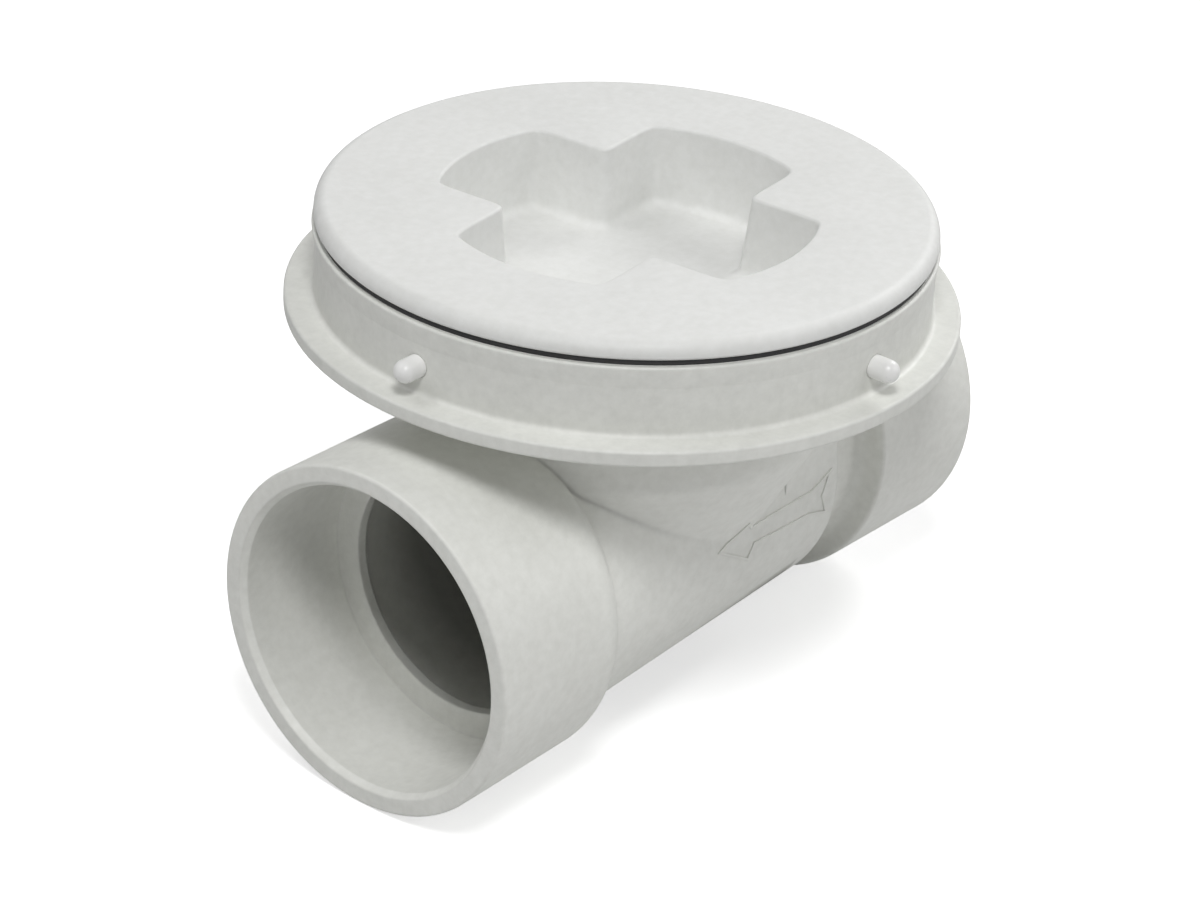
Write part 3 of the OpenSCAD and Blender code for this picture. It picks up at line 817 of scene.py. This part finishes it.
def thread(name, root_r, crest_r, start_z):
    deselect()
    bpy.ops.mesh.primitive_plane_add(size=1)
    ridge = bpy.context.object
    ridge.name = ridge.data.name = name
    for corner in ridge.data.vertices:
        on_crest = corner.co.x > 0
        up = 1 if corner.co.y > 0 else -1
        half = thread_crest if on_crest else thread_root
        corner.co = (crest_r if on_crest else root_r, 0, up * half)
    screw = ridge.modifiers.new("wind", "SCREW")
    screw.axis = "Z"
    screw.steps = thread_steps
    screw.angle = 2 * math.pi
    screw.iterations = thread_turns
    screw.screw_offset = pitch
    screw.use_merge_vertices = False
    bpy.ops.object.modifier_apply(modifier="wind")
    bpy.ops.object.mode_set(mode="EDIT")
    bpy.ops.mesh.select_all(action="SELECT")
    bpy.ops.mesh.remove_doubles(threshold=tiny)
    bpy.ops.mesh.fill_holes(sides=4)
    bpy.ops.mesh.normals_make_consistent(inside=False)
    bpy.ops.object.mode_set(mode="OBJECT")
    smooth_below(30)
    settle(ridge, Matrix.Translation((access_x, 0, start_z)))
    return ridge


collar_bore = 80.5 * MM
thread_sunk = 0.3 * MM
thread_play = 0.35 * MM
thread_rise = 2.5 * MM
skirt_start = skirt_foot + thread_rise
collar_start = skirt_start + pitch / 2
skirt_thread = thread("skirt_thread", skirt_r - thread_sunk, collar_bore - thread_play, skirt_start)
collar_thread = thread("collar_thread", collar_bore + thread_sunk, skirt_r + thread_play, collar_start)
dress(skirt_thread, cover_plastic, "cover", "pvc_cover")
dress(collar_thread, collar_plastic, "housing", "pvc_white")
print("threads:", [len(ridge.data.polygons) for ridge in (skirt_thread, collar_thread)], "faces")

# %% [markdown]
# The flow arrow
#
# The mould leaves a raised arrow on the side of the body, to show the fitter which way the
# water runs. It could be a bump in the material, but then its edge would vanish from the side.
# So it is drawn flat as one closed outline, inset to a ribbon, cut fine enough to bend, pressed
# on to the body by the Shrinkwrap modifier and thickened by Solidify.

# %% Draw the arrow
arrow_line = 0.8 * MM
arrow_cuts = 14
arrow_gap = 5 * MM
arrow_start_y = body_side - arrow_gap
arrow_corners = [
    (56.7, 7.4), (68.6, 13.2), (71.6, 10.4), (99.0, 11.2), (108.0, 14.8),
    (104.4, 7.6), (107.6, 0.4), (98.0, 3.2), (73.4, 3.8), (71.2, -0.8),
]
deselect()
bpy.ops.mesh.primitive_circle_add(vertices=len(arrow_corners), radius=start_r, fill_type="NGON")
arrow = bpy.context.object
arrow.name = arrow.data.name = "flow_arrow"
for corner, (x, z) in zip(arrow.data.vertices, arrow_corners):
    corner.co = (x * MM, arrow_start_y, z * MM)
bpy.ops.object.mode_set(mode="EDIT")
bpy.ops.mesh.select_all(action="SELECT")
bpy.ops.mesh.inset(thickness=arrow_line)
bpy.ops.mesh.delete(type="FACE")
bpy.ops.mesh.select_all(action="SELECT")
bpy.ops.mesh.subdivide(number_cuts=arrow_cuts)
bpy.ops.object.mode_set(mode="OBJECT")
print("flat arrow:", len(arrow.data.polygons), "faces")

# %% Press the arrow on the body
arrow_height = 0.7 * MM
press = arrow.modifiers.new("press", "SHRINKWRAP")
press.wrap_method = "PROJECT"
press.use_project_x = False
press.use_project_y = True
press.use_project_z = False
press.use_negative_direction = True
press.use_positive_direction = True
press.target = nodes["valve_body"]
thicken = arrow.modifiers.new("thicken", "SOLIDIFY")
thicken.thickness = arrow_height
thicken.offset = 0
for name in ("press", "thicken"):
    bpy.ops.object.modifier_apply(modifier=name)
bpy.ops.object.mode_set(mode="EDIT")
bpy.ops.mesh.select_all(action="SELECT")
bpy.ops.mesh.normals_make_consistent(inside=False)
bpy.ops.object.mode_set(mode="OBJECT")
smooth_below(30)
settle(arrow, Matrix())
dress(arrow, raised_plastic, "housing", "pvc_white")
print("raised arrow:", len(arrow.data.polygons), "faces")

# %% [markdown]
# The screws
#
# Steel pan-head screws with a cross slot hold the seat plate in the body. Each could be modelled
# in its place, but one is easier to shape upright at the origin. The shank and the head are
# turned from rings, the slot is cut with two tapered blades and the Boolean modifier, and
# copies are set in their places and joined.

# %% Write the cutting tools
facing_down = -0.9
slot_taper = (0.45, 0.8, 1)


def combine(piece, tool, operation):
    change = piece.modifiers.new("combine", "BOOLEAN")
    change.operation = operation
    change.solver = "EXACT"
    change.object = tool
    deselect()
    piece.select_set(True)
    bpy.context.view_layer.objects.active = piece
    bpy.ops.object.modifier_apply(modifier="combine")
    bpy.data.objects.remove(tool)


def select_lower_faces(piece):
    bpy.ops.object.mode_set(mode="EDIT")
    bpy.ops.mesh.select_mode(type="FACE")
    bpy.ops.mesh.select_all(action="DESELECT")
    bpy.ops.object.mode_set(mode="OBJECT")
    for face in piece.data.polygons:
        face.select = face.normal.z < facing_down
    bpy.ops.object.mode_set(mode="EDIT")


def slot_blade(length, width, depth, middle_z):
    deselect()
    bpy.ops.mesh.primitive_cube_add(size=1)
    blade = bpy.context.object
    bpy.ops.object.mode_set(mode="EDIT")
    bpy.ops.transform.resize(value=(length, width, depth))
    bpy.ops.transform.translate(value=(0, 0, middle_z))
    select_lower_faces(blade)
    bpy.ops.transform.resize(value=slot_taper)
    bpy.ops.object.mode_set(mode="OBJECT")
    return blade


print("cutting tools ready")

# %% Model a screw
screw_points = 48
dome_steps = 8
dome_power = 0.5


def pan_head_screw(name, shank_r, head_r, head, length):
    tip = 0.35 * shank_r
    brim = 0.35 * head
    slot_length = 1.15 * head_r
    slot_width = 0.26 * head_r
    slot_middle = 0.9 * head
    dome = [(circle(head_r * math.cos(a) ** dome_power), brim + (head - brim) * math.sin(a))
            for a in quarter(dome_steps)[:-1]]
    screw = ring_moulding(name, screw_points, [
        (circle(shank_r - tip), -length),
        (circle(shank_r), -length + tip),
        (circle(shank_r), 0),
        (circle(head_r), 0),
    ] + dome)
    for turn in (0, 90):
        blade = slot_blade(slot_length, slot_width, head, slot_middle)
        settle(blade, Matrix.Rotation(math.radians(turn), 4, "Z"))
        combine(screw, blade, "DIFFERENCE")
    smooth_below(35)
    return screw


plate_low, plate_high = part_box("seat_plate_screws")
plate_shank_r = 2.5 * MM
plate_head_r = 4.5 * MM
plate_head = 3 * MM
plate_shank = plate_high.x - plate_low.x - plate_head
plate_screw = pan_head_screw("seat_plate_screw", plate_shank_r, plate_head_r, plate_head, plate_shank)
print("seat plate's screw:", len(plate_screw.data.polygons), "faces, length", round(plate_shank, 5))

# %% Set the seat plate's screws
along_x = Matrix.Rotation(math.pi / 2, 4, "Y")
turned_back = along_x @ Matrix.Rotation(math.pi, 4, "X")
head_x = plate_low.x + plate_head
head_y = plate_high.y - plate_head_r
head_z = (plate_low.z + plate_high.z) / 2
plate_places = [Matrix.Translation((head_x, side * head_y, head_z)) @ turned_back for side in (-1, 1)]
plate_screws = set_out(plate_screw, plate_places)
plate_screws.name = plate_screws.data.name = "seat_plate_screw_pair"
dress(plate_screws, pin_steel, "housing", "stainless", "seat_plate_screws")
print("seat plate's screws at y", round(-head_y, 4), "and", round(head_y, 4))

# %% [markdown]
# The nuts and the retainer's screws
#
# Four smaller screws hold the steel plate on the flap, each with a hexagon nut behind. A bevel
# would cut a nut's edges all alike, while a real nut is chamfered by turning it on a lathe. So
# the six-sided bar is cut to what it shares with a turned barrel, and then bored. The places
# are a ring on the leaning seat, found from the plate's own box.

# %% Write the nut tool
barrel_points = 72
bore_points = 48


def hexagon_nut(name, corner_r, bore_r, height):
    deselect()
    middle = (0, 0, height / 2)
    bpy.ops.mesh.primitive_cylinder_add(vertices=6, radius=corner_r, depth=height, location=middle)
    nut = bpy.context.object
    nut.name = nut.data.name = name
    settle(nut, nut.matrix_world.copy())
    flat_r = corner_r * math.cos(math.pi / 6)
    chamfer = 0.7 * (corner_r - flat_r)
    face_r = 0.97 * flat_r
    clear_r = 1.02 * corner_r
    past_face = 0.01 * MM
    barrel = ring_moulding("barrel", barrel_points, [
        (circle(face_r), -past_face),
        (circle(clear_r), chamfer),
        (circle(clear_r), height - chamfer),
        (circle(face_r), height + past_face),
    ])
    combine(nut, barrel, "INTERSECT")
    sink_r = 1.25 * bore_r
    sink_depth = 0.25 * bore_r
    past_bore = 0.1 * MM
    bore = ring_moulding("bore", bore_points, [
        (circle(sink_r), -past_bore),
        (circle(bore_r), sink_depth),
        (circle(bore_r), height - sink_depth),
        (circle(sink_r), height + past_bore),
    ])
    combine(nut, bore, "DIFFERENCE")
    smooth_below(25)
    return nut


print("nut tool ready")

# %% Set the retainer's screws and nuts
seat_lean = math.radians(6)
retainer = 2.5 * MM
flap_back = 9 * MM
ring_r = 22 * MM
retainer_shank_r = 2 * MM
retainer_head_r = 3.6 * MM
retainer_head = 2.4 * MM
nut_corner_r = 4 * MM
nut_bore_r = 2.1 * MM
nut_height = 3.2 * MM
grip = retainer + flap_back + nut_height
retainer_low, retainer_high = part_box("facing_retainer")
retainer_middle = Matrix.Translation((retainer_low + retainer_high) / 2)
leaning = Matrix.Rotation(seat_lean, 4, "Y")
seat = retainer_middle @ leaning @ Matrix.Translation((-retainer / 2, 0, 0))
ring_turns = [Matrix.Rotation(math.radians(90 * (i + 0.5)), 4, "X") for i in range(4)]
ring_places = [seat @ turn @ Matrix.Translation((0, 0, ring_r)) for turn in ring_turns]
screw_seat = Matrix.Translation((retainer, 0, 0)) @ along_x
nut_seat = Matrix.Translation((-flap_back, 0, 0)) @ turned_back
screw = pan_head_screw("retainer_screw", retainer_shank_r, retainer_head_r, retainer_head, grip)
screws = set_out(screw, [place @ screw_seat for place in ring_places])
screws.name = screws.data.name = "retainer_screw_ring"
dress(screws, pin_steel, "flap", "stainless", "retainer_screws")
nut = hexagon_nut("retainer_nut", nut_corner_r, nut_bore_r, nut_height)
nuts = set_out(nut, [place @ nut_seat for place in ring_places])
nuts.name = nuts.data.name = "retainer_nut_ring"
dress(nuts, pin_steel, "flap", "stainless", "retainer_nuts")
print("retainer's ring:", len(screws.data.polygons), "faces of screws,", len(nuts.data.polygons), "of nuts")

# %% [markdown]
# A check on the fasteners
#
# The new screws and nuts stand in for plain solids. They could be judged by eye, but they are
# small and hidden, so each group's box is measured against the box of the solid it replaces.

# %% Measure the fasteners
stand_ins = {"seat_plate_screws": plate_screws, "retainer_screws": screws, "retainer_nuts": nuts}
for node, piece in stand_ins.items():
    low = [min(v.co[i] for v in piece.data.vertices) for i in range(3)]
    high = [max(v.co[i] for v in piece.data.vertices) for i in range(3)]
    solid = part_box(node)
    print(piece.name, "off its solid by mm:",
          [round(1000 * (a - b), 2) for a, b in zip(low, solid[0])],
          [round(1000 * (a - b), 2) for a, b in zip(high, solid[1])])
